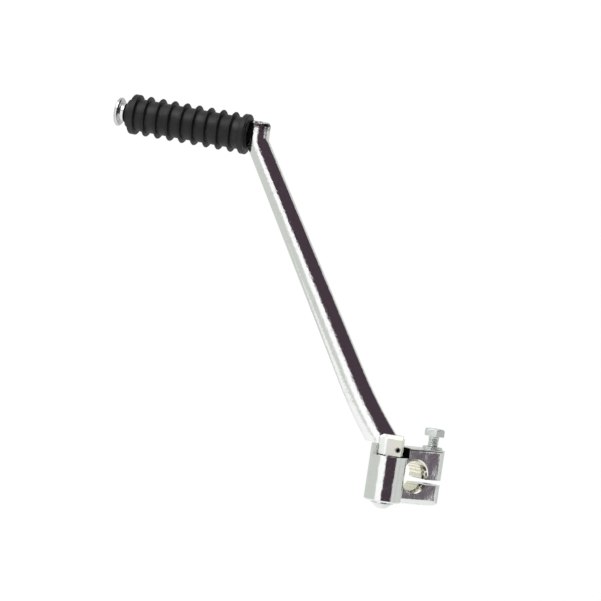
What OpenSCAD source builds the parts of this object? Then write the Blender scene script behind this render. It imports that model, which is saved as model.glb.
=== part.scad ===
// Kick start lever: a pinch hub for a serrated spindle, a folding arm and a rubber pedal.
// The origin is the middle of the spindle bore. Y runs along the bore and Z along the fold pin.

/* [Spindle bore] */
// Radius over the crests of the serrations
bore_r = 8; // [6.5:0.25:8.5]
// Number of serrations
tooth_count = 24; // [18:1:30]
// Depth of a serration
tooth_depth = 0.7; // [0.4:0.1:1]
// Depth of the plain recess at the engine side
recess_depth = 3.5; // [2:0.5:5]
// Bevel at both mouths of the bore
bore_bevel = 0.8; // [0.4:0.1:1.2]

/* [Hub] */
// Thickness of the clamp along the bore
hub_depth = 15; // [14.5:0.5:18]
// Height of the hub
hub_h = 31; // [28:0.5:36]
// Reach of the clamp ears past the bore axis
ear_reach = 23; // [21.5:0.1:26]
// Plan radius at the tip of the ears
ear_round = 7; // [3:0.5:7]
// Radius of the lower corner of the ears
corner_round = 8; // [4:0.5:9]
// Radius along the upper edges of the clamp
edge_round = 2; // [1:0.25:3]
// Radius along the lower edges of the clamp
foot_round = 3.4; // [1.5:0.1:4]
// Width of the clamp slit
slit_w = 2.8; // [1.5:0.1:4]
// Drop of the slit below the bore axis
slit_drop = 2.6; // [0:0.1:3]
// Distance between the bore axis and the fold pin
pin_offset = 14.6; // [13.5:0.1:17]
// Radius of the barrel that holds the fold pin
barrel_r = 10.3; // [9.5:0.1:12]
// Depth of the knuckle pocket below the top of the hub
pocket_depth = 5.6; // [4.5:0.1:8]
// Bevel at the foot of the barrel
barrel_bevel = 0.8; // [0.5:0.1:2]

/* [Fold joint] */
// Radius of the fold pin
pin_r = 4; // [3:0.25:4.5]
// Radius of the knuckle
knuckle_r = 7.5; // [7:0.1:8.5]
// Height of the knuckle
knuckle_h = 11; // [10:0.2:15]
// Bevel round the top of the knuckle
knuckle_bevel = 1.8; // [0.8:0.1:2.5]
// Width of the stop block on the knuckle
block_w = 8.8; // [7:0.2:10]
// Reach of the stop block from the fold axis
block_reach = 8.8; // [8.2:0.1:9]
// Height of the slope above the face of the stop block
block_slope = 2.6; // [1.5:0.1:3]
// Radius of the roll pin
roll_r = 1.5; // [1:0.1:1.8]
// Radius of the detent ball
ball_r = 1.75; // [1.25:0.05:1.75]
// Depth of the detent spring hole below the seat
detent_depth = 12; // [9:0.5:14]
// Fold angle from the pose shown to the riding position
open_turn = 35; // [20:1:35]
// Fold angle from the pose shown to the stowed position
stow_turn = 55; // [40:1:55]

/* [Pinch bolt] */
// Thread radius of the pinch bolt
bolt_r = 3; // [2.5:0.5:3.5]
// Length of the bolt below its head
bolt_len = 30; // [25:1:34]
// Width across the flats of the bolt head
head_af = 10; // [8:1:11]
// Height of the bolt head
head_h = 4; // [3:0.5:5]
// Distance that the bolt is backed out
backed_out = 7.2; // [2:0.2:10]
// Distance between the bore axis and the bolt axis
bolt_offset = 16.3; // [15:0.1:17]

/* [Arm] */
// Height of the pedal axis above the bore axis
pedal_h = 172; // [140:0.5:200]
// Reach of the arm at the pedal axis, from the fold axis
pedal_reach = 102.7; // [80:0.1:115]
// Lean of the straight part of the arm from the fold axis
arm_lean = 31.5; // [25:0.5:34]
// Direction of the lean, as shown, about the fold axis
arm_turn = 125; // [115:1:135]
// Height at which the arm becomes straight
elbow_h = 49; // [40:1:60]
// Width of the arm at the foot
foot_w = 16.6; // [13:0.2:17.6]
// Width of the arm at the pedal
tip_w = 12; // [11:0.2:14]
// Thickness of the arm at the foot
foot_t = 10.4; // [8:0.2:12]
// Thickness of the arm at the pedal
tip_t = 11.4; // [10.5:0.2:13]
// Height of the arm's flat top above the pedal axis
tip_over = 8.3; // [7:0.1:9.5]

/* [Pedal] */
// Upward tilt of the pedal towards its outer end
pedal_tilt = 1.6; // [0:0.2:4]
// Radius of the spigot under the rubber
spigot_r = 5.2; // [4.5:0.1:5.6]
// Radius of the collar at the root of the spigot
collar_r = 6.2; // [5.8:0.1:6.8]
// Length of the rubber
rubber_len = 70.8; // [60:0.2:85]
// Outer radius of the ribs
rib_r = 11.2; // [10:0.1:13]
// Radius of the rubber between the ribs
valley_r = 9.5; // [8.5:0.1:10]
// Number of ribs, with the two end bands
rib_count = 10; // [8:1:12]
// Width of a rib at its top
rib_w = 2.3; // [1.5:0.1:3]
// Radius of the neck at the outer end
neck_r = 7.7; // [7:0.1:8.4]
// Length of bare spigot between the rubber and the end washer
stand_off = 4.2; // [2:0.2:6]
// Radius of the end washer
washer_r = 7.9; // [7:0.1:9]
// Thickness of the end washer
washer_t = 2.2; // [1.5:0.1:3]

/* [Hidden] */
$fn = 96;

// Clearances
run_fit = 0.05;       // round a shaft that turns
tight_fit = 0.02;     // round a shaft that is pressed in
pocket_gap = 0.4;     // round the knuckle in its pocket
seat_gap = 0.5;       // under the knuckle and over the top of the hub
eps = 0.5;            // overrun of a cutter past a face

// Levels along the fold axis, from the bore axis
top_z = hub_h / 2;
foot_z = -hub_h / 2;
seat_z = top_z - pocket_depth;
knuckle_z = seat_z + seat_gap;
knuckle_top = knuckle_z + knuckle_h;
heel_z = top_z + seat_gap;
roll_z = knuckle_z + 3.4;
pin_top = knuckle_top - knuckle_bevel - 0.6;

// Plan sizes round the fold axis
pocket_r = knuckle_r + pocket_gap;
shoulder_x = knuckle_r + 1.15;
block_turn = 117;
mouth_turn = 172;
detent_turn = 180;
detent_reach = (pin_r + barrel_r) / 2 - 0.6;
recess_r = bore_r + tooth_depth + 0.15;
roll_offset = 2.5;

// Pin and bolt hardware
head_washer_t = 1;
head_washer_r = 6.2;
pin_head_r = 5.6;
pin_head_h = 3.1;
lock_t = 1.2;
lock_r = bolt_r + 2.5;
wire_r = 0.28;
spring_turns = 8;

// The arm's centre line, in the plane of the arm: [reach, height]
line_slope = tan(arm_lean);
function on_line(h) = [pedal_reach + (h - pedal_h) * line_slope, h];
knee_drop = 3.2;
arm_root = [0, knuckle_z + 1.6];
arm_bend = on_line(elbow_h - 20.5);
arm_elbow = on_line(elbow_h);
arm_knee = on_line(pedal_h - knee_drop);
arm_tip = arm_knee + [0, knee_drop + tip_over + 3];
function bezier(t) =
    pow(1 - t, 2) * arm_root + 2 * t * (1 - t) * arm_bend + t * t * arm_elbow;
heel_rings = 14;
shank_rings = 16;
tip_rings = 2;
arm_path = concat(
    [for (i = [0:heel_rings - 1]) bezier(i / heel_rings)],
    [for (i = [0:shank_rings - 1]) arm_elbow + (arm_knee - arm_elbow) * i / shank_rings],
    [for (i = [0:tip_rings]) arm_knee + (arm_tip - arm_knee) * i / tip_rings]
);

// The pedal lies nearly level, in the plane of the arm
root_out = 3;
pedal_root = pedal_reach + root_out;
collar_t = 0.8;
spigot_in = 4;
rubber_root = pedal_root + collar_t;
rubber_end = rubber_root + rubber_len;
washer_root = rubber_end + stand_off;
tenon_r = 3.2;
rivet_r = 5;
rivet_h = 0.8;
root_band = 3.8;
end_band = 4.8;
end_gap = 8.2;
neck_len = 2.2;

// Places its children on the fold axis
module at_fold() {
    translate([-pin_offset, 0, 0]) children();
}

// Places its children in the plane of the arm: X is reach, Z is height
module at_arm() {
    at_fold() rotate([0, 0, arm_turn]) children();
}

// Points its children's Z axis along the pedal
module at_pedal(reach) {
    at_arm() translate([pedal_reach, 0, pedal_h]) rotate([0, 90 - pedal_tilt, 0])
        translate([0, 0, reach - pedal_reach]) children();
}

// A flat ring between two radii
module ring(outer, inner, h) {
    difference() {
        cylinder(r = outer, h = h);
        translate([0, 0, -eps]) cylinder(r = inner, h = h + 2 * eps);
    }
}

// A closed skin over equal rings of points, in order along the piece
module skin(rings) {
    count = len(rings);
    sides = len(rings[0]);
    points = [for (ring_points = rings) each ring_points];
    walls = [
        for (i = [0:count - 2], j = [0:sides - 1])
            let (k = (j + 1) % sides)
                [i * sides + j, i * sides + k, (i + 1) * sides + k, (i + 1) * sides + j]
    ];
    first = [for (j = [0:sides - 1]) sides - 1 - j];
    last = [for (j = [0:sides - 1]) (count - 1) * sides + j];
    polyhedron(points, concat(walls, [first], [last]), convexity = 10);
}

// The clamp block: a plan with a rounded tip, met by a rounded side and a rounded end outline
module clamp_block() {
    intersection() {
        clamp_plan();
        clamp_side();
        clamp_end();
    }
}

module clamp_plan() {
    flat = hub_depth / 2;
    translate([-pin_offset, -flat, foot_z])
        cube([pin_offset + ear_reach - ear_round, hub_depth, hub_h]);
    translate([0, -flat + ear_round, foot_z])
        cube([ear_reach, hub_depth - 2 * ear_round, hub_h]);
    for (side = [-1, 1])
        translate([ear_reach - ear_round, side * (flat - ear_round), foot_z])
            cylinder(r = ear_round, h = hub_h);
}

// A rounded lower corner and a smaller upper one, seen along the bore
module clamp_side() {
    rotate([90, 0, 0]) linear_extrude(hub_depth * 2, center = true) {
        translate([-pin_offset * 2, foot_z])
            square([pin_offset * 2 + ear_reach - corner_round, hub_h]);
        translate([0, foot_z + corner_round])
            square([ear_reach, hub_h - corner_round - edge_round]);
        translate([ear_reach - corner_round, foot_z + corner_round]) circle(corner_round);
        translate([0, foot_z + corner_round])
            square([ear_reach - edge_round, hub_h - corner_round]);
        translate([ear_reach - edge_round, top_z - edge_round]) circle(edge_round);
    }
}

// Rounded edges along the clamp, seen from its tip
module clamp_end() {
    flat = hub_depth / 2;
    rotate([90, 0, 90]) linear_extrude(ear_reach * 4, center = true) {
        translate([-flat + foot_round, foot_z]) square([hub_depth - 2 * foot_round, hub_h / 2]);
        translate([-flat, foot_z + foot_round]) square([hub_depth, hub_h - foot_round - edge_round]);
        translate([-flat + edge_round, 0]) square([hub_depth - 2 * edge_round, top_z]);
        for (side = [-1, 1]) {
            translate([side * (flat - foot_round), foot_z + foot_round]) circle(foot_round);
            translate([side * (flat - edge_round), top_z - edge_round]) circle(edge_round);
        }
    }
}

// The barrel round the fold pin, bevelled at its foot and its top
module barrel() {
    at_fold() rotate_extrude() polygon([
        [0, foot_z],
        [barrel_r - barrel_bevel, foot_z],
        [barrel_r, foot_z + barrel_bevel],
        [barrel_r, top_z - barrel_bevel / 2],
        [barrel_r - barrel_bevel / 2, top_z],
        [0, top_z]
    ]);
}

// The pocket for the knuckle, open in front between the left ear and the shoulder
module pocket() {
    far = barrel_r * 2;
    at_fold() translate([0, 0, seat_z]) {
        cylinder(r = pocket_r, h = pocket_depth + eps);
        linear_extrude(pocket_depth + eps) polygon([
            [0, 0],
            [far * cos(mouth_turn), far * sin(mouth_turn)],
            [-far, -far],
            [shoulder_x, -far],
            [shoulder_x, 0]
        ]);
    }
}

// The serrated bore with its plain recess, its bevels and the slit through the ears
module spindle_hole() {
    half = hub_depth / 2;
    pitch = 360 / tooth_count;
    notch = bore_r * sin(pitch / 4);
    rotate([90, 0, 0]) {
        cylinder(r = bore_r, h = hub_depth * 2, center = true);
        for (i = [0:tooth_count - 1])
            rotate([0, 0, (i + 0.5) * pitch])
                linear_extrude(hub_depth * 2, center = true) polygon([
                    [bore_r - 1, -notch],
                    [bore_r - 0.05, -notch],
                    [bore_r + tooth_depth, 0],
                    [bore_r - 0.05, notch],
                    [bore_r - 1, notch]
                ]);
        translate([0, 0, half - recess_depth]) cylinder(r = recess_r, h = recess_depth + eps);
        translate([0, 0, half - bore_bevel])
            cylinder(r1 = recess_r, r2 = recess_r + bore_bevel + eps, h = bore_bevel + eps);
        translate([0, 0, -half - eps])
            cylinder(r1 = recess_r + bore_bevel + eps, r2 = recess_r, h = bore_bevel + eps);
    }
    translate([0, -hub_depth, -slit_drop - slit_w / 2]) cube([ear_reach * 2, hub_depth * 2, slit_w]);
}

module hub() {
    color("silver") difference() {
        union() {
            clamp_block();
            barrel();
        }
        pocket();
        spindle_hole();
        translate([bolt_offset, 0, 0]) cylinder(r = bolt_r + 0.3, h = top_z + eps);
        translate([bolt_offset, 0, foot_z - eps]) cylinder(r = bolt_r + run_fit, h = hub_h / 2 + eps);
        at_fold() translate([0, 0, foot_z - eps]) cylinder(r = pin_r + run_fit, h = hub_h);
        at_fold() rotate([0, 0, detent_turn]) translate([detent_reach, 0, seat_z - detent_depth])
            cylinder(r = ball_r + run_fit, h = detent_depth + eps);
    }
}

// The outside of the knuckle: a bevelled boss with a stop block, sloped above its flat face
module knuckle_form() {
    side_h = knuckle_h - knuckle_bevel;
    at_arm() translate([0, 0, knuckle_z]) {
        cylinder(r = knuckle_r, h = side_h);
        translate([0, 0, side_h])
            cylinder(r1 = knuckle_r, r2 = knuckle_r - knuckle_bevel, h = knuckle_bevel);
        rotate([0, 0, block_turn]) rotate([90, 0, 0]) linear_extrude(block_w, center = true) polygon([
            [0, 0],
            [block_reach, 0],
            [block_reach, knuckle_h - block_slope],
            [block_reach - block_slope * 0.7, knuckle_h],
            [0, knuckle_h]
        ]);
    }
}

// The roll pin's line, square to the face of the stop block
module at_roll() {
    at_arm() translate([0, 0, roll_z]) rotate([0, 0, block_turn]) translate([block_reach, roll_offset, 0])
        rotate([0, -90, 0]) children();
}
roll_len = block_reach + pin_r + 1.2;

module knuckle() {
    color("wheat") difference() {
        knuckle_form();
        at_fold() translate([0, 0, knuckle_z - eps]) cylinder(r = pin_r + tight_fit, h = pin_top - knuckle_z + eps);
        at_roll() translate([0, 0, -eps]) cylinder(r = roll_r + tight_fit, h = roll_len + eps);
        for (turn = [-open_turn, stow_turn])
            at_fold() rotate([0, 0, detent_turn - turn])
                translate([detent_reach, 0, knuckle_z - ball_r + seat_gap]) sphere(r = ball_r);
    }
}

// One oval ring of the arm at step i of its path
function arm_ring(i) =
    let (
        last = len(arm_path) - 1,
        step = arm_path[min(i + 1, last)] - arm_path[max(i - 1, 0)],
        along = step / norm(step),
        share = (arm_path[i][1] - arm_root[1]) / (arm_tip[1] - arm_root[1]),
        half_w = (foot_w + (tip_w - foot_w) * share) / 2,
        half_t = (foot_t + (tip_t - foot_t) * share) / 2
    )
    [for (a = [0:15:345])
        let (
            u = half_w * sign(cos(a)) * pow(abs(cos(a)), 0.8),
            v = half_t * sign(sin(a)) * pow(abs(sin(a)), 0.8)
        )
        [arm_path[i][0] + u * along[1], v, arm_path[i][1] - u * along[0]]
    ];

module lever_arm() {
    color("gainsboro") difference() {
        at_arm() skin([for (i = [0:len(arm_path) - 1]) arm_ring(i)]);
        knuckle_form();
        at_fold() translate([0, 0, heel_z - 30]) cylinder(r = 40, h = 30);
        at_pedal(pedal_root) translate([-30, -20, 0]) cube([60, 40, 40]);
        at_arm() translate([pedal_reach - 30, -20, pedal_h + tip_over]) cube([60, 40, 30]);
        at_pedal(pedal_root - spigot_in) cylinder(r = spigot_r + tight_fit, h = spigot_in + eps);
    }
}

// The fold pin, headed below the barrel and cross-drilled for the roll pin
module pivot_pin() {
    head_top = foot_z - head_washer_t - run_fit * 2;
    dome = (pin_head_r * pin_head_r + pin_head_h * pin_head_h) / (2 * pin_head_h);
    color("lightgray") difference() {
        at_fold() {
            translate([0, 0, head_top - eps]) cylinder(r = pin_r, h = pin_top - head_top);
            intersection() {
                translate([0, 0, head_top - pin_head_h + dome]) sphere(r = dome);
                translate([0, 0, head_top - pin_head_h - eps]) cylinder(r = pin_head_r, h = pin_head_h + eps);
            }
        }
        at_roll() translate([0, 0, -eps]) cylinder(r = roll_r + tight_fit, h = roll_len + eps);
    }
}

module head_washer() {
    color("silver") at_fold() translate([0, 0, foot_z - head_washer_t])
        ring(head_washer_r, pin_r + 0.1, head_washer_t);
}

// A rolled spring pin: a tube with an open seam
module roll_pin() {
    color("dimgray") at_roll() difference() {
        ring(roll_r, roll_r - 0.5, roll_len - 0.3);
        translate([0, -0.2, -eps]) cube([roll_r * 2, 0.4, roll_len * 2]);
    }
}

ball_z = knuckle_z - tight_fit - ball_r;

module detent_ball() {
    color("gray") at_fold() rotate([0, 0, detent_turn]) translate([detent_reach, 0, ball_z]) sphere(r = ball_r);
}

// The detent spring, a helix of round wire between the foot of its hole and the ball
module detent_spring() {
    coil_r = ball_r - wire_r - 0.1;
    low = seat_z - detent_depth + wire_r;
    high = ball_z - sqrt(pow(ball_r + wire_r, 2) - coil_r * coil_r) - tight_fit;
    steps = spring_turns * 14;
    lead = (high - low) / steps;
    color("slategray") at_fold() rotate([0, 0, detent_turn]) translate([detent_reach, 0, 0])
        skin([for (i = [0:steps])
            let (turn = i * 360 * spring_turns / steps)
                [for (a = [0:60:300])
                    let (r = coil_r + wire_r * cos(a))
                        [r * cos(turn), r * sin(turn), low + i * lead + wire_r * sin(a)]
                ]
        ]);
}

// The pinch bolt, backed out as shown, with a chamfered hexagon head
module pinch_bolt() {
    under_z = top_z + backed_out;
    corner = head_af / 2 / cos(30);
    color("silver") translate([bolt_offset, 0, under_z]) {
        translate([0, 0, -bolt_len + 1]) cylinder(r = bolt_r, h = bolt_len - 1 + eps);
        translate([0, 0, -bolt_len]) cylinder(r1 = bolt_r - 0.8, r2 = bolt_r, h = 1);
        intersection() {
            cylinder(r = corner, h = head_h, $fn = 6);
            translate([0, 0, -1]) cylinder(r1 = corner + 4, r2 = corner - 0.9, h = head_h + 1);
        }
    }
}

// A split lock washer that lies on the upper ear
module lock_washer() {
    color("gray") translate([bolt_offset, 0, top_z]) difference() {
        ring(lock_r, bolt_r + 0.15, lock_t);
        rotate([0, 0, 70]) translate([bolt_r, -0.4, -eps]) cube([lock_r, 0.8, lock_t * 2]);
    }
}

// The spigot: a collar against the arm, a plain core and a tenon riveted over the end washer
module pedal_spigot() {
    core = washer_root - rubber_root;
    color("gainsboro") {
        at_pedal(pedal_root - spigot_in) cylinder(r = spigot_r, h = spigot_in + eps);
        at_pedal(pedal_root) cylinder(r = collar_r, h = collar_t);
        at_pedal(rubber_root - eps) cylinder(r = spigot_r, h = core + eps);
        at_pedal(washer_root - eps) cylinder(r = tenon_r, h = washer_t + 2 * eps);
        at_pedal(washer_root + washer_t) cylinder(r1 = rivet_r, r2 = rivet_r - 1.8, h = rivet_h);
    }
}

// One rib of the rubber's outline, from its left foot to its right foot
function rib(middle, width) =
    let (bevel = 0.4, foot = 0.15)
    [
        [valley_r, middle - width / 2 - foot],
        [rib_r - bevel, middle - width / 2],
        [rib_r, middle - width / 2 + bevel],
        [rib_r, middle + width / 2 - bevel],
        [rib_r - bevel, middle + width / 2],
        [valley_r, middle + width / 2 + foot]
    ];

module pedal_rubber() {
    first = root_band / 2 + 0.2;
    last = rubber_len - neck_len - end_band / 2 - 0.2;
    pitch = (last - first - end_gap) / (rib_count - 2);
    inner = spigot_r + tight_fit;
    color("#222222") at_pedal(rubber_root) rotate_extrude() polygon(concat(
        [[inner, 0], [valley_r, 0]],
        rib(first, root_band),
        [for (i = [1:rib_count - 2]) each rib(first + i * pitch, rib_w)],
        rib(last, end_band),
        [
            [valley_r, rubber_len - neck_len],
            [neck_r, rubber_len - neck_len],
            [neck_r, rubber_len],
            [inner, rubber_len]
        ]
    ));
}

// The riveted end washer, bevelled on both faces
module end_washer() {
    bevel = 0.6;
    color("gainsboro") at_pedal(washer_root) rotate_extrude() polygon([
        [tenon_r + tight_fit, 0],
        [washer_r - bevel, 0],
        [washer_r, bevel],
        [washer_r, washer_t - bevel],
        [washer_r - bevel, washer_t],
        [tenon_r + tight_fit, washer_t]
    ]);
}

hub();
knuckle();
lever_arm();
pivot_pin();
head_washer();
roll_pin();
detent_ball();
detent_spring();
pinch_bolt();
lock_washer();
pedal_spigot();
pedal_rubber();
end_washer();
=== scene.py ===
# %% [markdown]
# # Dressing a folding kick start lever
# The lever is a pinch hub that grips a serrated spindle, a plated arm that folds on a pin, and a
# ribbed rubber pedal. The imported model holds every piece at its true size. This lesson gives the
# pieces their finish, and makes anew those whose shape a coarse triangle mesh shows too plainly:
# the tapered arm, the ribbed rubber and the threaded bolt. The knuckle is made anew as well, with
# its stop block turned the way the photograph shows it.

# %% Load the frame
import math

import bmesh
import bpy
from mathutils import Matrix, Vector


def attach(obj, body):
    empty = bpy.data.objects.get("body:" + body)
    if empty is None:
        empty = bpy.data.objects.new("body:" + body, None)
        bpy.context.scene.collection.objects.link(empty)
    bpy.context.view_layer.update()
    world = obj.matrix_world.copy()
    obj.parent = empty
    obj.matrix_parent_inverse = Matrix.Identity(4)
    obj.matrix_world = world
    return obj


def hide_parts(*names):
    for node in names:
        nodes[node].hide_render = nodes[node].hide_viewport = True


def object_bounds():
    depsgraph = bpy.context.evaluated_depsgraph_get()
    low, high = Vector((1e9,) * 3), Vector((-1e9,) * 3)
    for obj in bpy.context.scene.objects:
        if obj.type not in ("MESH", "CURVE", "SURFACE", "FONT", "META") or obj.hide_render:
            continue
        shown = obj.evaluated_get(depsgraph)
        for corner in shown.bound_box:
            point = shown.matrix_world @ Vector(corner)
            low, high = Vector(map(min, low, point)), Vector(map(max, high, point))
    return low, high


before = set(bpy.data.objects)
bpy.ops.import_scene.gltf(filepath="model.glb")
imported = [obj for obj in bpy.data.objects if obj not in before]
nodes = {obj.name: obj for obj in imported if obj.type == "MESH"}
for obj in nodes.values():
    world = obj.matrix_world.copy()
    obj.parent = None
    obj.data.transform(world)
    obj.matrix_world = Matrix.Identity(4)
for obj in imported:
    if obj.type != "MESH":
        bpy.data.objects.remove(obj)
cad_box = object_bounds()
MM = 0.001
print("pieces in the frame:", len(nodes))

# %% [markdown]
# ## The camera
# The lever was photographed from far off with a long lens, so that its lines hardly converge. The
# camera therefore stands two metres away. It is rolled a little, because the fold pin leans in the
# picture. A camera can be aimed with a constraint, but a rotation built from its own three axes
# says exactly where each one points, and it stays readable.

# %% Camera
PICTURE = 601
SENSOR = 36
azimuth = math.radians(-39.7)
elevation = math.radians(2.0)
roll = math.radians(8.6)
distance = 2.0
pixels_per_metre = 1821
aim = Vector((-0.050, 0.040, 0.085))
aim_pixel = (314.1, 304.8)

toward_camera = Vector((
    math.sin(azimuth) * math.cos(elevation),
    -math.cos(azimuth) * math.cos(elevation),
    math.sin(elevation),
))
level_right = Vector((math.cos(azimuth), math.sin(azimuth), 0))
level_up = toward_camera.cross(level_right)
right = level_right * math.cos(roll) + level_up * math.sin(roll)
up = level_up * math.cos(roll) - level_right * math.sin(roll)

camera_data = bpy.data.cameras.new("camera")
camera_data.sensor_width = SENSOR
camera_data.lens = pixels_per_metre * distance / PICTURE * SENSOR
camera_data.clip_end = 20
camera = bpy.data.objects.new("camera", camera_data)
bpy.context.scene.collection.objects.link(camera)
middle = PICTURE / 2
slide_right = (middle - aim_pixel[0]) / pixels_per_metre
slide_up = (aim_pixel[1] - middle) / pixels_per_metre
place = aim + toward_camera * distance + right * slide_right + up * slide_up
turn = Matrix((right, up, toward_camera)).transposed().to_4x4()
camera.matrix_world = Matrix.Translation(place) @ turn
bpy.context.scene.camera = camera
print("lens, mm:", round(camera_data.lens, 1))

# %% [markdown]
# ## Node maths as Python
# A procedural finish is mostly arithmetic on masks, and so is a shape that follows a rule. Wiring
# each sum by hand hides the idea, so one small class wraps a socket and lets Python's own signs add
# the Math nodes.


# %% A socket that can be added and multiplied
class Value:
    """An output of a node tree. Sums, products and quotients of it add Math nodes."""

    def __init__(self, maker, socket):
        self.maker = maker
        self.socket = socket

    def math(self, operation, *others, flip=False):
        terms = [self, *others]
        if flip:
            terms.reverse()
        return self.maker.add("ShaderNodeMath", {"operation": operation}, dict(enumerate(terms)))

    def __add__(self, other):
        return self.math("ADD", other)

    def __radd__(self, other):
        return self.math("ADD", other)

    def __sub__(self, other):
        return self.math("SUBTRACT", other)

    def __rsub__(self, other):
        return self.math("SUBTRACT", other, flip=True)

    def __mul__(self, other):
        return self.math("MULTIPLY", other)

    def __rmul__(self, other):
        return self.math("MULTIPLY", other)

    def __truediv__(self, other):
        return self.math("DIVIDE", other)

    def __rtruediv__(self, other):
        return self.math("DIVIDE", other, flip=True)

    def above(self, other):
        """1 where it is greater than the other, and 0 elsewhere."""
        return self.math("GREATER_THAN", other)

    def least(self, other):
        """The smaller of the two."""
        return self.math("MINIMUM", other)

    def most(self, other):
        """The larger of the two."""
        return self.math("MAXIMUM", other)

    def swapped(self, other, where):
        """The other value where a mask is 1, and this one where it is 0."""
        return self + where * (other - self)

    def ramp(self, low, high):
        """0 below low, 1 above high, and a smooth rise between them."""
        sockets = {"Value": self, "From Min": low, "From Max": high}
        settings = {"interpolation_type": "SMOOTHSTEP"}
        return self.maker.add("ShaderNodeMapRange", settings, sockets)

    def rise(self, low, high):
        """A ramp with its limits in mm."""
        return self.ramp(low * MM, high * MM)

    def between(self, low, high, soft):
        """1 between two limits in mm. The edges are soft on the inside of the limits."""
        return self.rise(low, low + soft) * (1 - self.rise(high - soft, high))


# %% A maker of nodes, for materials, the world and geometry alike
AXIS_X = (1, 0, 0)
AXIS_Y = (0, 1, 0)
AXIS_Z = (0, 0, 1)


class Maker:
    def __init__(self, tree):
        self.tree = tree

    def add(self, kind, settings=None, sockets=None, out=0):
        """Adds a node. Its settings come first, because they can change its sockets."""
        node = self.tree.nodes.new(kind)
        for name, setting in (settings or {}).items():
            setattr(node, name, setting)
        for key, term in (sockets or {}).items():
            if isinstance(term, Value):
                self.tree.links.new(term.socket, node.inputs[key])
            else:
                node.inputs[key].default_value = term
        return Value(self, node.outputs[out]) if node.outputs else None

    def mix(self, share, first, second):
        """A blend of two colours."""
        settings = {"data_type": "RGBA"}
        # The colour sockets of a Mix node are its seventh and eighth inputs, and its third output.
        return self.add("ShaderNodeMix", settings, {0: share, 6: first, 7: second}, out=2)

    def noise(self, place, scale, detail, roughness):
        sockets = {"Vector": place, "Scale": scale, "Detail": detail, "Roughness": roughness}
        return self.add("ShaderNodeTexNoise", None, sockets)

    def place(self):
        """Object coordinates, which are metres in the frame of the whole lever."""
        return self.add("ShaderNodeTexCoord", out="Object")

    def vector(self, operation, first, second=(0, 0, 0), out="Vector"):
        sockets = {0: first, 1: tuple(second)}
        return self.add("ShaderNodeVectorMath", {"operation": operation}, sockets, out)

    def along(self, place, way):
        """How far a place lies along a way."""
        return self.vector("DOT_PRODUCT", place, way, out="Value")

    def from_axis(self, place, centre, across):
        """How far a place lies from an axis. across is 1 for the coordinates square to it."""
        flat = self.vector("MULTIPLY", self.vector("SUBTRACT", place, centre), across)
        return self.vector("LENGTH", flat, out="Value")


# %% [markdown]
# ## Light
# Chrome has almost no colour of its own: it shows the room. A white room alone would make it look
# like paper. In the photograph the plating holds a dark, slightly purple band, which is the unlit
# side of the studio. The world is therefore white, with a dark side that runs from a little left of
# the camera round to its right. Its far end is less dark, and near the level it has a grey gap.
# Grey walls close the room on both sides. Only reflections see any of this. Diffuse surfaces get
# plain even light from the world.

# %% World
WHITE = (1, 1, 1, 1)
WINDOW = (1.20, 1.18, 1.20, 1)
UNLIT = (0.068, 0.045, 0.060, 1)
DIM = (0.155, 0.125, 0.150, 1)
SIDE_WALL = (0.70, 0.72, 0.69, 1)
# Bearings are in degrees from the camera, and grow to its right.
WALL_TO = -56
DARK_FROM = -13
GAP_FROM = 52
DIM_FROM = 74
DARK_TO = 87
EDGE = 3
# The height of a ray is 0 when it is level and 1 when it goes straight up.
GAP_TOP = (0.03, 0.10)
DARK_FLOOR = (-0.55, -0.45)
DARK_CEILING = (0.80, 0.90)

world = bpy.data.worlds.new("studio")
bpy.context.scene.world = world
world.use_nodes = True
world.node_tree.nodes.clear()
air = Maker(world.node_tree)
direction = air.add("ShaderNodeTexCoord", out="Generated")
level_back = Vector((math.sin(azimuth), -math.cos(azimuth), 0))
across = air.along(direction, level_right)
ahead = air.along(direction, level_back)
height = air.along(direction, AXIS_Z)
bearing = across.math("ARCTAN2", ahead) * (180 / math.pi)


def past(limit, later=0.0):
    """1 where the bearing is past a limit, with a soft edge."""
    return bearing.ramp(later + (limit - EDGE), later + (limit + EDGE))


def spread(slope, most, start=0.0):
    """The degrees that an edge moves by for the height of a ray."""
    return ((height - start) * slope).most(0.0).least(most)


# The dark side is wider for rays that climb, such as those that the leaning arm sends out.
wider_left = spread(slope=70, most=25)
wider_right = spread(slope=100, most=40, start=0.24)
wider_wall = spread(slope=-45, most=12)
less_dark = past(DIM_FROM, wider_right)
gap = past(GAP_FROM) * (1 - past(DIM_FROM)) * (1 - height.ramp(*GAP_TOP))
dark_side = past(DARK_FROM, 0 - wider_left) * (1 - past(DARK_TO, wider_right)) * (1 - gap)
dark_side = dark_side * height.ramp(*DARK_FLOOR) * (1 - height.ramp(*DARK_CEILING))
left_wall = 1 - past(WALL_TO, wider_wall)
right_wall = past(DARK_TO + EDGE, wider_right)
grey_wall = left_wall.most(right_wall).most(gap)
shade = air.mix(less_dark, UNLIT, DIM)
room = air.mix(grey_wall, WINDOW, SIDE_WALL)
room = air.mix(dark_side, room, shade)
glossy = air.add("ShaderNodeLightPath", out="Is Glossy Ray")
seen = air.mix(glossy, WHITE, room)
background = air.add("ShaderNodeBackground", None, {"Color": seen, "Strength": 1.0})
air.add("ShaderNodeOutputWorld", None, {"Surface": background})
bpy.context.scene.view_settings.view_transform = "Standard"
print("nodes of the room:", len(world.node_tree.nodes))

# %% [markdown]
# ## The floor
# The lever hangs by its bore, so the pale floor lies well below it. It is a small panel, because an
# endless floor would fill every upright mirror and hide the dark side of the room. It glows
# a little for the camera alone, which keeps it white and still lets it carry a shadow.

# %% Floor
FLOOR_DROP = 0.10
FLOOR_SIZE = 0.8
FLOOR_TONE = (0.85, 0.85, 0.85, 1)
FLOOR_GLOW = 0.2


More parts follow.
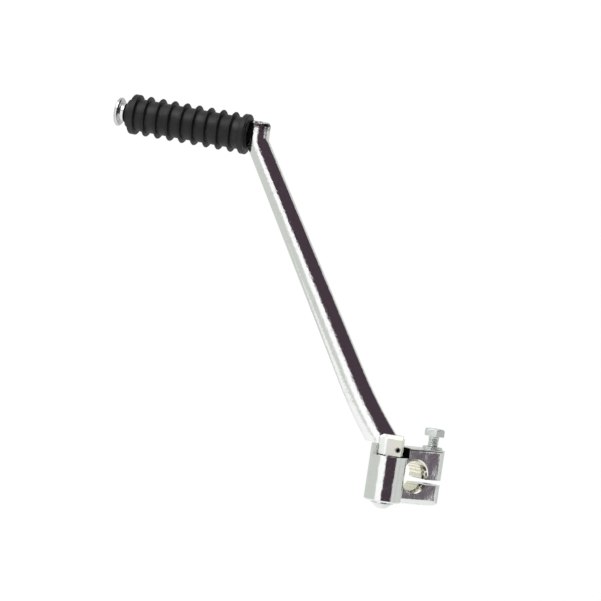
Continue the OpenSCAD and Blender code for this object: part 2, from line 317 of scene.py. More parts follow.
def new_material(name):
    material = bpy.data.materials.new(name)
    material.use_nodes = True
    material.node_tree.nodes.clear()
    return material, Maker(material.node_tree)


def link_new(name, mesh):
    piece = bpy.data.objects.new(name, mesh)
    bpy.context.scene.collection.objects.link(piece)
    return piece


floor_z = cad_box[0].z - FLOOR_DROP
floor_mesh = bpy.data.meshes.new("floor")
half = FLOOR_SIZE / 2
corners = [(-half, -half), (half, -half), (half, half), (-half, half)]
floor_mesh.from_pydata([(x, y, floor_z) for x, y in corners], [], [(0, 1, 2, 3)])
floor = link_new("floor", floor_mesh)
floor_material, tiles = new_material("pale_floor")
paint = tiles.add("ShaderNodeBsdfDiffuse", None, {"Color": FLOOR_TONE})
to_camera = tiles.add("ShaderNodeLightPath", out="Is Camera Ray")
glow = tiles.add("ShaderNodeEmission", None, {"Color": WHITE, "Strength": to_camera * FLOOR_GLOW})
floor_look = tiles.add("ShaderNodeAddShader", None, {0: paint, 1: glow})
tiles.add("ShaderNodeOutputMaterial", None, {"Surface": floor_look})
floor_mesh.materials.append(floor_material)
print("floor below the bore, mm:", round(-floor_z / MM, 1))

# %% [markdown]
# ## A soft key light
# One large lamp from the upper left gives the matt rubber its pale rib edges. The world
# alone would leave it flat.

# %% Key light
KEY_DISTANCE = 0.9
key_data = bpy.data.lights.new("key", "AREA")
key_data.shape = "SQUARE"
key_data.size = 0.6
key_data.energy = 3.5
key_data.specular_factor = 0.6
key = bpy.data.objects.new("key", key_data)
bpy.context.scene.collection.objects.link(key)
key_way = (toward_camera * 0.5 - level_right * 0.55 + Vector((0, 0, 0.9))).normalized()
key.location = aim + key_way * KEY_DISTANCE
key.rotation_euler = key_way.to_track_quat("Z", "Y").to_euler()
print("key light at, m:", [round(number, 2) for number in key.location])

# %% [markdown]
# ## Plated steel
# The hub and the arm are forgings under bright plating. The plating is a mirror, but the skin
# beneath it isn't flat: fine pits break the edge of each reflection into speckles, and slow swells
# bend it. Both are noise on Object coordinates that feeds a Bump node. A Bevel node rounds
# the sharp edges where two surfaces meet, which catches a thin line of light as a real edge does.


# %% Plating
def plating(name, colour, shade, roughness, pits, swell, edge=0.35, grain=1500):
    """Bright plating. pits and swell are the heights of its relief, and edge a radius, in mm."""
    material, steel = new_material(name)
    place = steel.place()
    fine = steel.noise(place, scale=grain, detail=2, roughness=0.6)
    slow = steel.noise(place, scale=120, detail=1, roughness=0.4)
    stain = steel.noise(place, scale=260, detail=4, roughness=0.6).ramp(0.50, 0.78)
    tone = steel.mix(stain, (*colour, 1), (*shade, 1))
    rounded = steel.add("ShaderNodeBevel", {"samples": 6}, {"Radius": edge * MM})
    relief = (fine * pits + slow * swell) * MM
    sockets = {"Height": relief, "Strength": 1.0, "Distance": 1.0, "Normal": rounded}
    skin = steel.add("ShaderNodeBump", None, sockets)
    surface = steel.add("ShaderNodeBsdfPrincipled", None, {
        "Base Color": tone,
        "Metallic": 1.0,
        "Roughness": stain * 0.10 + roughness,
        "Normal": skin,
    })
    steel.add("ShaderNodeOutputMaterial", None, {"Surface": surface})
    return material, steel, surface


pin_chrome = plating(
    "pin_plating", (0.80, 0.81, 0.81), (0.66, 0.67, 0.67), roughness=0.16, pits=0.020, swell=0.020
)[0]
# Painted shade: the end washer has the pin's hardware plating, made darker.
shaded_disc_chrome = plating(
    "disc_plating_shaded", (0.62, 0.62, 0.61), (0.48, 0.48, 0.47), roughness=0.22, pits=0.016, swell=0.020
)[0]
zinc = plating(
    "zinc_plating", (0.76, 0.80, 0.77), (0.60, 0.63, 0.60), roughness=0.44, pits=0.012,
    swell=0.006, edge=0.2
)[0]
spring_steel = plating(
    "dark_spring_steel", (0.60, 0.60, 0.61), (0.42, 0.42, 0.43), roughness=0.40, pits=0.004,
    swell=0.0, edge=0.1
)[0]
print("plain platings:", [made.name for made in (pin_chrome, shaded_disc_chrome, zinc, spring_steel)])

# %% [markdown]
# ## A second tone on part of a piece
# Some pieces are stained, grimy or dull in one place. A separate material there would need its own
# faces, with a hard edge. A mask that blends a second tone into the first follows any shape.


# %% Tinting where a mask is 1
def feed(steel, value, surface, label):
    """Links a value to a named socket of the shader."""
    steel.tree.links.new(value.socket, surface.socket.node.inputs[label])


def tint(steel, surface, share, tone, duller):
    """Blends in another colour, and a duller gloss, where share is 1."""
    node = surface.socket.node
    plain_tone = Value(steel, node.inputs["Base Color"].links[0].from_socket)
    plain_gloss = Value(steel, node.inputs["Roughness"].links[0].from_socket)
    feed(steel, steel.mix(share, plain_tone, tone), surface, "Base Color")
    feed(steel, plain_gloss + share * duller, surface, "Roughness")


# %% [markdown]
# ## The arm's darkened tip
# Painted reflection: the plating at the arm's upper end, where the pedal's spigot is set in, gets
# dark purplish patches in the tone of the unlit room that it mirrors there. A mask on height keeps
# them to that end.

# %% Arm plating
TIP_REFLECTION_FROM = 173.5
TIP_REFLECTION_FULL = 178.5


def arm_plating():
    material, steel, surface = plating(
        "arm_plating", (0.83, 0.84, 0.83), (0.72, 0.73, 0.72), roughness=0.07, pits=0.110,
        swell=0.120, grain=850
    )
    place = steel.place()
    at_tip = steel.along(place, AXIS_Z).rise(TIP_REFLECTION_FROM, TIP_REFLECTION_FULL)
    patches = steel.noise(place, scale=300, detail=3, roughness=0.6).ramp(0.40, 0.52)
    # Painted reflection: patches of the unlit room's dark tone on the tip.
    tint(steel, surface, at_tip * patches, (0.060, 0.045, 0.055, 1), duller=0.15)
    return material


arm_chrome = arm_plating()
print("arm plating, nodes:", len(arm_chrome.node_tree.nodes))

# %% [markdown]
# ## The hub's bore and pocket
# Little plating reaches the inside of the bore, and what does is yellowish. The hub keeps its
# chrome outside, and a mask on the distance from the bore's axis turns it ivory inside. Painted
# shade darkens the serrations by the slit in brown patches, and the pocket of the fold joint is
# painted nearly black as its shade. A strip down the barrel where it stands out farthest mirrors
# little of the room, and a painted reflection gives it the light grey that the barrel shows there.

# %% Hub plating
PIN_OFFSET = 14.6
IVORY_R = (9.0, 9.3)
SLIT_SHADE_X = (5.6, 7.0)
SLIT_SHADE_Y = (-4.5, -2.5)
POCKET_FLOOR = 9.9
POCKET_RIM = 15.3
POCKET_R = (9.2, 9.4)
PAST_PIN = 2
SHOULDER_X = (-6.4, -5.2)
SHOULDER_HALF = 7.0
STRIP_REFLECTION_Y = (-10.10, -9.95)
STRIP_REFLECTION_DULLS = 0.85
fold_axis = Vector((-PIN_OFFSET * MM, 0, 0))


def hub_plating():
    material, steel, surface = plating(
        "hub_plating", (0.80, 0.82, 0.80), (0.68, 0.70, 0.68), roughness=0.09, pits=0.050,
        swell=0.300, grain=900
    )
    place = steel.place()
    x = steel.along(place, AXIS_X)
    y = steel.along(place, AXIS_Y)
    z = steel.along(place, AXIS_Z)
    inside = 1 - steel.from_axis(place, (0, 0, 0), across=(1, 0, 1)).rise(*IVORY_R)
    tint(steel, surface, inside, (0.90, 0.88, 0.76, 1), duller=0.18)
    # Painted shade: brown patches darken the serrations by the slit, inside the bore.
    by_slit = x.rise(*SLIT_SHADE_X) * (1 - y.rise(*SLIT_SHADE_Y))
    serration_shade = steel.noise(place, scale=420, detail=2, roughness=0.6).ramp(0.40, 0.54)
    tint(steel, surface, inside * by_slit * serration_shade, (0.09, 0.07, 0.05, 1), duller=0.20)
    round_pin = 1 - steel.from_axis(place, fold_axis, across=(1, 1, 0)).rise(*POCKET_R)
    to_clamp = x.rise(-PIN_OFFSET, PAST_PIN - PIN_OFFSET)
    at_shoulder = x.between(*SHOULDER_X, soft=0.1)
    at_shoulder = at_shoulder * y.between(-SHOULDER_HALF, SHOULDER_HALF, soft=0.1)
    # Painted shade: the pocket of the fold joint is painted nearly black.
    pocket = (round_pin * to_clamp).most(at_shoulder)
    pocket = pocket * z.between(POCKET_FLOOR - 0.2, POCKET_RIM, soft=0.15)
    tint(steel, surface, pocket, (0.012, 0.014, 0.009, 1), duller=0.30)
    # Painted reflection: a dull light grey strip down the barrel's front, in place of the mirrored
    # room.
    strip_reflection = 1 - y.rise(*STRIP_REFLECTION_Y)
    tint(steel, surface, strip_reflection, (0.60, 0.62, 0.60, 1), duller=0.10)
    feed(steel, 1 - strip_reflection * STRIP_REFLECTION_DULLS, surface, "Metallic")
    return material


hub_chrome = hub_plating()
print("hub plating, nodes:", len(hub_chrome.node_tree.nodes))

# %% [markdown]
# ## The knuckle and its stop block
# A dull film covers the knuckle. It scatters light, so the knuckle is pale even where it faces the
# dark side of the room. Only the block on its front has a warm tint as well. The mask is how far a
# place lies from the fold axis towards the face of the block, and how far to its sides.

# %% Knuckle plating
ARM_TURN = 125
BLOCK_TURN = 101
BLOCK_REACH = 7.8
BLOCK_LEFT = -1.7
BLOCK_RIGHT = 6.7
BLOCK_TONE_FROM = (2.5, 3.0)
WARMER_ASIDE = (0.0, 5.0)
FILMED_METALLIC = 0.35
block_way = Matrix.Rotation(math.radians(ARM_TURN + BLOCK_TURN), 3, "Z") @ Vector(AXIS_X)
block_side = Vector((-block_way.y, block_way.x, 0))


def knuckle_plating():
    material, steel, surface = plating(
        "knuckle_plating", (0.83, 0.84, 0.82), (0.72, 0.73, 0.71), roughness=0.12, pits=0.020,
        swell=0.030
    )
    surface.socket.node.inputs["Metallic"].default_value = FILMED_METALLIC
    from_pin = steel.vector("SUBTRACT", steel.place(), fold_axis)
    out_front = steel.along(from_pin, block_way).rise(*BLOCK_TONE_FROM)
    aside = steel.along(from_pin, block_side)
    on_block = out_front * aside.between(BLOCK_LEFT - 0.2, BLOCK_RIGHT + 0.2, soft=0.1)
    warmer = on_block * aside.rise(*WARMER_ASIDE)
    tint(steel, surface, on_block, (0.82, 0.81, 0.76, 1), duller=0.16)
    tint(steel, surface, warmer * 0.6, (0.88, 0.86, 0.70, 1), duller=0.0)
    return material


block_chrome = knuckle_plating()
print("the block faces, degrees:", ARM_TURN + BLOCK_TURN)

# %% [markdown]
# ## The spigot's two shaded ends
# Painted shade: where the pedal meets the arm, the collar of the spigot is painted nearly black,
# and so is the short stretch past the rubber's outer end, as both sit in narrow gaps. A mask on the
# way along the pedal finds both.

# %% The pedal's place
PEDAL_H = 172
PEDAL_REACH = 102.7
PEDAL_TILT = 1.6
ROOT_OUT = 3
in_millimetres = Matrix.Scale(MM, 4)
at_fold = Matrix.Translation((-PIN_OFFSET, 0, 0))
at_arm = at_fold @ Matrix.Rotation(math.radians(ARM_TURN), 4, "Z")


def at_pedal(reach):
    tilt = Matrix.Rotation(math.radians(90 - PEDAL_TILT), 4, "Y")
    out = Matrix.Translation((0, 0, reach - PEDAL_REACH))
    return at_arm @ Matrix.Translation((PEDAL_REACH, 0, PEDAL_H)) @ tilt @ out


pedal_root = PEDAL_REACH + ROOT_OUT
print("the pedal's root, mm:", [round(number, 1) for number in at_pedal(pedal_root).translation])

# %% Spigot plating
COLLAR_T = 0.8
PAST_RUBBER = (71.2, 73.8)


def spigot_plating():
    material, steel, surface = plating(
        "spigot_plating", (0.74, 0.74, 0.73), (0.58, 0.58, 0.57), roughness=0.18, pits=0.040,
        swell=0.040
    )
    root = at_pedal(pedal_root)
    from_root = steel.vector("SUBTRACT", steel.place(), root.translation * MM)
    out_along = steel.along(from_root, root.to_3x3() @ Vector(AXIS_Z))
    collar_shade = 1 - out_along.rise(COLLAR_T + 0.1, COLLAR_T + 0.3)
    end_shade = out_along.between(*PAST_RUBBER, soft=0.4)
    # Painted shade: both ends of the spigot are painted nearly black.
    tint(steel, surface, collar_shade.most(end_shade), (0.008, 0.008, 0.008, 1), duller=0.4)
    return material


spigot_chrome = spigot_plating()
print("spigot plating, nodes:", len(spigot_chrome.node_tree.nodes))

# %% [markdown]
# ## Moulded rubber
# The pedal rubber is matt and nearly black. Its skin has a fine grain, and a faint bloom makes it
# a little paler and smoother in soft patches.


# %% Rubber
def moulded_rubber():
    material, rubber = new_material("black_rubber")
    place = rubber.place()
    grain = rubber.noise(place, scale=2200, detail=3, roughness=0.65)
    bloom = rubber.noise(place, scale=130, detail=3, roughness=0.6).ramp(0.35, 0.75)
    tone = rubber.mix(bloom, (0.004, 0.004, 0.004, 1), (0.011, 0.011, 0.010, 1))
    rounded = rubber.add("ShaderNodeBevel", {"samples": 4}, {"Radius": 0.15 * MM})
    sockets = {"Height": grain * (0.03 * MM), "Strength": 1.0, "Distance": 1.0, "Normal": rounded}
    skin = rubber.add("ShaderNodeBump", None, sockets)
    surface = rubber.add("ShaderNodeBsdfPrincipled", None, {
        "Base Color": tone,
        "Roughness": 0.52 - bloom * 0.10,
        "Specular IOR Level": 0.35,
        "Normal": skin,
    })
    rubber.add("ShaderNodeOutputMaterial", None, {"Surface": surface})
    return material


black_rubber = moulded_rubber()
print("rubber, nodes:", len(black_rubber.node_tree.nodes))

# %% [markdown]
# ## Smooth copies of the plated nodes
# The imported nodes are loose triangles, so a mirror finish would show each flat strip of a
# cylinder. A copy is merged, shaded smooth and kept sharp at its real edges. The edges are found by
# the angle between faces. The shape stays exactly as packed.

# %% Copies that shade smoothly
SHARP = math.radians(26)


def shade_smooth(mesh):
    form = bmesh.new()
    form.from_mesh(mesh)
    bmesh.ops.remove_doubles(form, verts=form.verts, dist=0.001 * MM)
    for face in form.faces:
        face.smooth = True
    for edge in form.edges:
        edge.smooth = len(edge.link_faces) == 2 and edge.calc_face_angle(math.pi) < SHARP
    form.to_mesh(mesh)
    form.free()


def coat(mesh, material):
    """Gives a whole mesh one material."""
    mesh.materials.clear()
    mesh.materials.append(material)


def dress(piece, node, body):
    """Hides a node, and sets the piece that stands for it on the node's body."""
    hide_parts(node)
    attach(piece, body)


smooth_nodes = {
    "hub": (hub_chrome, "hub", "hub_plating"),
    "pivot_pin": (pin_chrome, "arm", "hardware_plating"),
    "head_washer": (pin_chrome, "hub", "hardware_plating"),
    "lock_washer": (zinc, "hub", "bolt_plating"),
    "pedal_spigot": (spigot_chrome, "arm", "arm_plating"),
    "end_washer": (shaded_disc_chrome, "arm", "hardware_plating"),
}
for name, (material, body, slot) in smooth_nodes.items():
    mesh = nodes[name].data.copy()
    shade_smooth(mesh)
    coat(mesh, material)
    dress(link_new(name + "_smooth", mesh), name, body)
for name in ("roll_pin", "detent_ball", "detent_spring"):
    coat(nodes[name].data, spring_steel)
print("smooth copies:", len(smooth_nodes))

# %% [markdown]
# ## The arm
# The arm is forged to an oval that gets narrower towards the pedal, and its last stretch stands
# upright. A curve with a bevel object could carry one section, but not a taper of its width
# alone. A loft of rings can, and it follows the path of the solid with many more rings. The last
# rings shrink, which rounds the tip. Booleans then cut its foot, the seat of the knuckle, the flat
# that faces the pedal and the spigot's socket.

# %% The path of the arm
KNUCKLE_Z = 10.4
ROOT_UP = 1.6
LEAN = 31.5
BEND_Z = 28.5
ELBOW_Z = 49
KNEE_DROP = 3.2
KNEE_ROUND = 3.0
TIP_OVER = 8.3
TIP_ROUND = 2.6
line_slope = math.tan(math.radians(LEAN))


def on_line(h):
    """The point at a height on the straight part of the path."""
    return Vector((PEDAL_REACH + (h - PEDAL_H) * line_slope, h))


def bend(first, middle, last, t):
    return first * (1 - t) ** 2 + middle * (2 * t * (1 - t)) + last * t * t


def steps(count):
    return [i / count for i in range(count)]


arm_root = Vector((0, KNUCKLE_Z + ROOT_UP))
arm_elbow = on_line(ELBOW_Z)
arm_knee = on_line(PEDAL_H - KNEE_DROP)
arm_tip = arm_knee + Vector((0, KNEE_DROP + TIP_OVER))
knee_start = arm_knee + (arm_elbow - arm_knee).normalized() * KNEE_ROUND
knee_end = arm_knee + Vector((0, KNEE_ROUND))
round_start = arm_tip - Vector((0, TIP_ROUND))
arm_path = [bend(arm_root, on_line(BEND_Z), arm_elbow, t) for t in steps(40)]
arm_path += [arm_elbow.lerp(knee_start, t) for t in steps(60)]
arm_path += [bend(knee_start, arm_knee, knee_end, t) for t in steps(10)]
arm_path += [knee_end.lerp(round_start, t) for t in steps(8)]
for t in [*steps(8), 1]:
    arm_path.append(round_start + Vector((0, TIP_ROUND * math.sin(math.pi / 2 * t))))
print("rings of the arm:", len(arm_path))

# %% The rings of the arm
ROOT_WIDTH = 16.6
TIP_WIDTH = 12
ROOT_THICKNESS = 10.4
TIP_THICKNESS = 11.4
TAPER_PAST_TIP = 3
RING_SIDES = 72


def arm_ring(i):
    first = arm_path[max(i - 1, 0)]
    last = arm_path[min(i + 1, len(arm_path) - 1)]
    way = (last - first).normalized()
    middle = arm_path[i]
    share = (middle.y - arm_root.y) / (arm_tip.y + TAPER_PAST_TIP - arm_root.y)
    over = max(middle.y - round_start.y, 0)
    inset = TIP_ROUND - math.sqrt(max(TIP_ROUND ** 2 - over ** 2, 0))
    half_w = (ROOT_WIDTH + (TIP_WIDTH - ROOT_WIDTH) * share) / 2 - inset
    half_t = (ROOT_THICKNESS + (TIP_THICKNESS - ROOT_THICKNESS) * share) / 2 - inset
    ring = []
    for step in range(RING_SIDES):
        a = math.tau * step / RING_SIDES
        u = half_w * math.cos(a)
        v = half_t * math.sin(a)
        ring.append(Vector((middle.x + u * way.y, v, middle.y - u * way.x)))
    return ring


def solid_of(name, rings):
    """A closed mesh through rings of points, with its normals outwards."""
    form = bmesh.new()
    levels = [[form.verts.new(point) for point in ring] for ring in rings]
    for low, high in zip(levels, levels[1:]):
        for j in range(len(low)):
            k = (j + 1) % len(low)
            form.faces.new((low[j], low[k], high[k], high[j]))
    form.faces.new(levels[0][::-1])
    form.faces.new(levels[-1])
    bmesh.ops.recalc_face_normals(form, faces=form.faces)
    mesh = bpy.data.meshes.new(name)
    form.to_mesh(mesh)
    form.free()
    return mesh


arm_loft = solid_of("lever_arm_loft", [arm_ring(i) for i in range(len(arm_path))])
print("faces of the loft:", len(arm_loft.polygons))

# %% What is cut from the arm
KNUCKLE_R = 7.5
KNUCKLE_H = 11
KNUCKLE_BEVEL = 1.8
BLOCK_DROP = 2.0
BLOCK_BACK = 1.4
HEEL_Z = 16
SOCKET_R = 5.22
SOCKET_DEPTH = 4
TURNED_SIDES = 96


def box_of(name, low, high):
    ring = [(low[0], low[1]), (high[0], low[1]), (high[0], high[1]), (low[0], high[1])]
    return solid_of(name, [[Vector((x, y, z)) for x, y in ring] for z in (low[2], high[2])])


def turned(name, profile):
    """A solid of revolution about Z, from pairs of radius and height."""
    angles = [math.tau * i / TURNED_SIDES for i in range(TURNED_SIDES)]
    rings = []
    for radius, z in profile:
        rings.append([Vector((radius * math.cos(a), radius * math.sin(a), z)) for a in angles])
    return solid_of(name, rings)


boss = turned("boss", [
    (KNUCKLE_R, KNUCKLE_Z),
    (KNUCKLE_R, KNUCKLE_Z + KNUCKLE_H - KNUCKLE_BEVEL),
    (KNUCKLE_R - KNUCKLE_BEVEL, KNUCKLE_Z + KNUCKLE_H),
])
block_top = KNUCKLE_Z + KNUCKLE_H
outline = [
    (0, KNUCKLE_Z),
    (BLOCK_REACH, KNUCKLE_Z),
    (BLOCK_REACH, block_top - BLOCK_DROP),
    (BLOCK_REACH - BLOCK_BACK, block_top),
    (0, block_top),
]
sides = (BLOCK_LEFT, BLOCK_RIGHT)
block = solid_of("block", [[Vector((x, y, z)) for x, z in outline] for y in sides])
at_block = at_arm @ Matrix.Rotation(math.radians(BLOCK_TURN), 4, "Z")
socket = turned("socket", [(SOCKET_R, 0), (SOCKET_R, SOCKET_DEPTH + 0.5)])
# The two boxes reach well past the arm on every side but the one that cuts.
arm_cutters = [
    (boss, at_fold),
    (block, at_block),
    (box_of("below_heel", (-40, -40, HEEL_Z - 30), (40, 40, HEEL_Z)), at_fold),
    (box_of("in_front", (-30, -20, 0), (60, 20, 40)), at_pedal(pedal_root)),
    (socket, at_pedal(pedal_root - SOCKET_DEPTH)),
]
print("cutters of the arm:", len(arm_cutters))


# %% Join and cut
def in_place(mesh, where):
    """A copy of a mesh in mm, set in its place in metres."""
    copy = mesh.copy()
    copy.transform(in_millimetres @ where)
    return link_new("tool_" + mesh.name, copy)


def settle(carrier, name):
    """The evaluated mesh of an object as a plain mesh on a new object."""
    graph = bpy.context.evaluated_depsgraph_get()
    mesh = bpy.data.meshes.new_from_object(carrier.evaluated_get(graph))
    carrier.modifiers.clear()
    bpy.data.objects.remove(carrier)
    mesh.name = name
    return link_new(name, mesh)


def shaped(blank, cuts, name):
    """Adds or cuts away one solid after another, and keeps the result as a plain mesh."""
    tools = []
    for mesh, where, operation in cuts:
        tools.append(in_place(mesh, where))
        step = blank.modifiers.new(mesh.name, "BOOLEAN")
        step.operation = operation
        step.solver = "EXACT"
        step.object = tools[-1]
    piece = settle(blank, name)
    for tool in tools:
        bpy.data.objects.remove(tool)
    shade_smooth(piece.data)
    return piece


# %% The arm
arm_cuts = [(mesh, where, "DIFFERENCE") for mesh, where in arm_cutters]
arm = shaped(in_place(arm_loft, at_arm), arm_cuts, "arm_fine")
coat(arm.data, arm_chrome)
dress(arm, "lever_arm", "arm")
print("faces of the arm:", len(arm.data.polygons))

# %% [markdown]
# ## The knuckle
# The knuckle is a boss with a flat-faced block on its front, a bore for the fold pin and a cross
# hole for the roll pin. The photograph shows the block's face square to the camera, a little off
# the boss's middle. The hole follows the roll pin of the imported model, so that the pin sits in it.

# %% The knuckle
PIN_R = 4.02
PIN_BORE_TOP = 8.6
ROLL_R = 1.52
ROLL_LENGTH = 14
ROLL_UP = 3.4
ROLL_OUT = 8.8
ROLL_ASIDE = 2.5
PACKED_BLOCK_TURN = 117
pin_bore = turned("pin_bore", [(PIN_R, KNUCKLE_Z - 1), (PIN_R, KNUCKLE_Z + PIN_BORE_TOP)])
roll_hole = turned("roll_hole", [(ROLL_R, -1), (ROLL_R, ROLL_LENGTH)])
at_packed_block = at_arm @ Matrix.Translation((0, 0, KNUCKLE_Z + ROLL_UP))
at_packed_block = at_packed_block @ Matrix.Rotation(math.radians(PACKED_BLOCK_TURN), 4, "Z")
inwards = Matrix.Rotation(math.radians(-90), 4, "Y")
at_roll = at_packed_block @ (Matrix.Translation((ROLL_OUT, ROLL_ASIDE, 0)) @ inwards)
knuckle_cuts = [
    (block, at_block, "UNION"),
    (pin_bore, at_fold, "DIFFERENCE"),
    (roll_hole, at_roll, "DIFFERENCE"),
]
knuckle = shaped(in_place(boss, at_fold), knuckle_cuts, "knuckle_fine")
coat(knuckle.data, block_chrome)
dress(knuckle, "knuckle", "arm")
print("faces of the knuckle:", len(knuckle.data.polygons))

# %% [markdown]
# ## A shape by rule
# The rubber and the bolt are round, and their radius follows a rule: ribs at even steps on one, and
# a thread and a hexagon on the other. Stacking rings and screws would leave seams between closed
# shells. Here Geometry Nodes start from a flat grid. One side of the grid is the way along the
# outline, and the other is the angle. The rule turns both into a place, and the seams are merged.


# %% Helpers for a rule
def rule_tree(name, sizes):
    """A Geometry Nodes tree with a named input for each size, and one for the material."""
    tree = bpy.data.node_groups.new(name, "GeometryNodeTree")
    for label in sizes:
        tree.interface.new_socket(label, in_out="INPUT", socket_type="NodeSocketFloat")
    tree.interface.new_socket("Material", in_out="INPUT", socket_type="NodeSocketMaterial")
    tree.interface.new_socket("Geometry", in_out="OUTPUT", socket_type="NodeSocketGeometry")
    maker = Maker(tree)
    given = tree.nodes.new("NodeGroupInput")
    return maker, {label: Value(maker, given.outputs[label]) for label in [*sizes, "Material"]}


def grid_steps(maker, rows, sides):
    """A grid, with the number of the row and the angle at each of its points."""
    sockets = {"Size X": 1.0, "Size Y": 1.0, "Vertices X": rows, "Vertices Y": sides + 1}
    grid = maker.add("GeometryNodeMeshGrid", None, sockets)
    place = maker.add("GeometryNodeInputPosition")
    row = ((maker.along(place, AXIS_X) + 0.5) * (rows - 1)).math("ROUND")
    angle = ((maker.along(place, AXIS_Y) + 0.5) * sides).math("ROUND") * (math.tau / sides)
    return grid, row, angle


def wrap(maker, grid, radius, z, angle, material):
    """Ends the tree: the grid goes round the axis, is closed and gets its material."""
    sockets = {"X": radius * angle.math("COSINE"), "Y": radius * angle.math("SINE"), "Z": z}
    place = maker.add("ShaderNodeCombineXYZ", None, sockets)
    shape = maker.add("GeometryNodeSetPosition", None, {"Geometry": grid, "Position": place})
    shape = maker.add("GeometryNodeMergeByDistance", None, {"Geometry": shape, "Distance": 1e-6})
    shape = maker.add("GeometryNodeRealizeInstances", None, {"Geometry": shape})
    sockets = {"Geometry": shape, "Material": material}
    shape = maker.add("GeometryNodeSetMaterial", None, sockets)
    maker.add("NodeGroupOutput", None, {0: shape})


def from_rule(name, tree, sizes, material, where):
    """Runs a tree and keeps its result as a plain mesh in its place. Sizes are in mm."""
    carrier = link_new(name + "_rule", bpy.data.meshes.new(name + "_rule"))
    modifier = carrier.modifiers.new("rule", "NODES")
    modifier.node_group = tree
    for item in tree.interface.items_tree:
        if item.in_out == "INPUT":
            value = material if item.name == "Material" else float(sizes[item.name])
            modifier[item.identifier] = value
    piece = settle(carrier, name)
    piece.data.transform(in_millimetres @ where)
    form = bmesh.new()
    form.from_mesh(piece.data)
    bmesh.ops.recalc_face_normals(form, faces=form.faces)
    form.to_mesh(piece.data)
    form.free()
    shade_smooth(piece.data)
    return piece


# %% [markdown]
# ## The pedal rubber
# The outline runs along the outside, from the root to the outer end, and comes back along the hole
# for the spigot, which is wider round the spigot's collar. The rule measures how far each row is
# from the nearest rib.

# %% The rubber's rule
RUBBER_ROWS = 520
RUBBER_SIDES = 96
BAND_MARGIN = 0.2
RIB_BEVEL = 0.4
RIB_STEEPNESS = 8.7
rubber_sizes = {
    "Length": 71.6,
    "Collar length": COLLAR_T,
    "Collar radius": 6.25,
    "Root radius": 8.2,
    "Rib radius": 11.2,
    "Valley radius": 9.0,
    "Hole radius": SOCKET_R,
    "Neck radius": 7.7,
    "Neck length": 2.2,
    "Ribs": 10,
    "Rib width": 1.3,
    "Root band": 3.2,
    "End band": 3.6,
    "End gap": 7.5,
}
ribbed, given = rule_tree("ribbed_rubber", rubber_sizes)
grid, row, angle = grid_steps(ribbed, RUBBER_ROWS + 5, RUBBER_SIDES)
length = given["Length"]
z = (row / (RUBBER_ROWS - 1)).least(1.0) * length
first_rib = given["Collar length"] + given["Root band"] / 2 + BAND_MARGIN
last_rib = length - given["Neck length"] - given["End band"] / 2 - BAND_MARGIN
pitch = (last_rib - first_rib - given["End gap"]) / (given["Ribs"] - 2)
nearest = ((z - first_rib) / pitch).math("ROUND").most(0.0).least(given["Ribs"] - 2)
is_root = 1 - nearest.above(0.5)
half_width = given["Rib width"].swapped(given["Root band"], is_root) / 2
inward = half_width - (z - first_rib - nearest * pitch).math("ABSOLUTE")
inward = inward.most(given["End band"] / 2 - (z - last_rib).math("ABSOLUTE"))
shoulder = given["Rib radius"] - RIB_BEVEL
ribs = (shoulder + inward).least(shoulder + inward * RIB_STEEPNESS)
outside = ribs.least(given["Rib radius"]).most(given["Valley radius"])
on_neck = z.above(length - given["Neck length"])
outside = outside.swapped(given["Neck radius"], on_neck)
at_root = 1 - z.above(given["Collar length"])
outside = outside.swapped(given["Root radius"], at_root)
# After the last row outside come: hole at the end, hole at the collar, collar, root, and the start.
after = [row.above(RUBBER_ROWS + i - 0.5) for i in range(5)]
radius = outside.swapped(given["Hole radius"], after[0])
radius = radius.swapped(given["Collar radius"], after[2])
radius = radius.swapped(given["Root radius"], after[4])
z = z.swapped(given["Collar length"], after[1])
z = z * (1 - after[3])
wrap(ribbed, grid, radius, z, angle, given["Material"])
rubber = from_rule("ribbed_rubber", ribbed.tree, rubber_sizes, black_rubber, at_pedal(pedal_root))
dress(rubber, "pedal_rubber", "arm")
print("faces of the rubber:", len(rubber.data.polygons))

# %% [markdown]
# ## The pinch bolt
# A thread is a groove whose place along the bolt moves on by one pitch in each turn. The same angle
# gives the head its six flats, and a cone trims its corners.

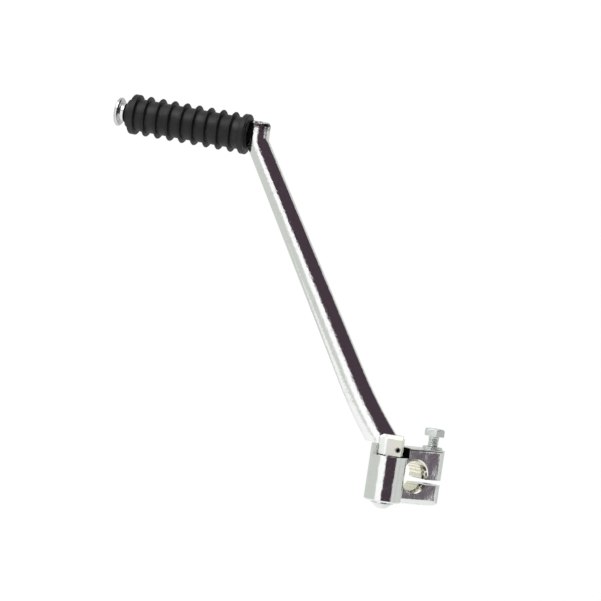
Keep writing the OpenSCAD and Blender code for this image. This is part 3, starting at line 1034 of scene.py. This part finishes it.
# %% The bolt's rule
SHANK_ROWS = 540
HEAD_ROWS = 14
BOLT_SIDES = 72
SIXTH = math.tau / 6
RUN_OUT_FROM = 0.8
TIP_IN = 0.8
TIP_SLOPE = 0.8
CORNER_TRIM = 0.9
CONE_SLOPE = 0.98
BOLT_OFFSET = 16.3
UNDER_HEAD = 22.7
bolt_sizes = {
    "Shank length": 22,
    "Thread radius": 3,
    "Thread depth": 0.5,
    "Thread pitch": 1,
    "Width across flats": 10,
    "Head height": 4,
}
threaded, given = rule_tree("threaded_bolt", bolt_sizes)
grid, row, angle = grid_steps(threaded, SHANK_ROWS + HEAD_ROWS + 2, BOLT_SIDES)
up_shank = ((row - 1) / (SHANK_ROWS - 1)).most(0.0).least(1.0)
up_head = ((row - SHANK_ROWS - 1) / (HEAD_ROWS - 1)).most(0.0).least(1.0)
z = (up_shank - 1) * given["Shank length"] + up_head * given["Head height"]
wave = (z / given["Thread pitch"] - angle / math.tau).math("FRACT")
groove = 1 - (wave * 2 - 1).math("ABSOLUTE")
run_out = (z * -1 - RUN_OUT_FROM).most(0.0).least(1.0)
shank = given["Thread radius"] - groove * given["Thread depth"] * run_out
tip = given["Thread radius"] - TIP_IN + (z + given["Shank length"]) * TIP_SLOPE
shank = shank.least(tip)
flat_angle = (angle / SIXTH).math("FRACT") * SIXTH - SIXTH / 2
half_flats = given["Width across flats"] / 2
corner = half_flats / math.cos(SIXTH / 2)
hexagon = half_flats / flat_angle.math("COSINE")
below_top = given["Head height"] - up_head * given["Head height"]
head = hexagon.least(corner - CORNER_TRIM + below_top * CONE_SLOPE)
on_head = row.above(SHANK_ROWS + 0.5)
radius = shank.swapped(head, on_head)
radius = radius * row.above(0.5) * (1 - row.above(SHANK_ROWS + HEAD_ROWS + 0.5))
wrap(threaded, grid, radius, z, angle, given["Material"])
bolt_place = Matrix.Translation((BOLT_OFFSET, 0, UNDER_HEAD))
bolt = from_rule("threaded_bolt", threaded.tree, bolt_sizes, zinc, bolt_place)
dress(bolt, "pinch_bolt", "hub")
print("faces of the bolt:", len(bolt.data.polygons))
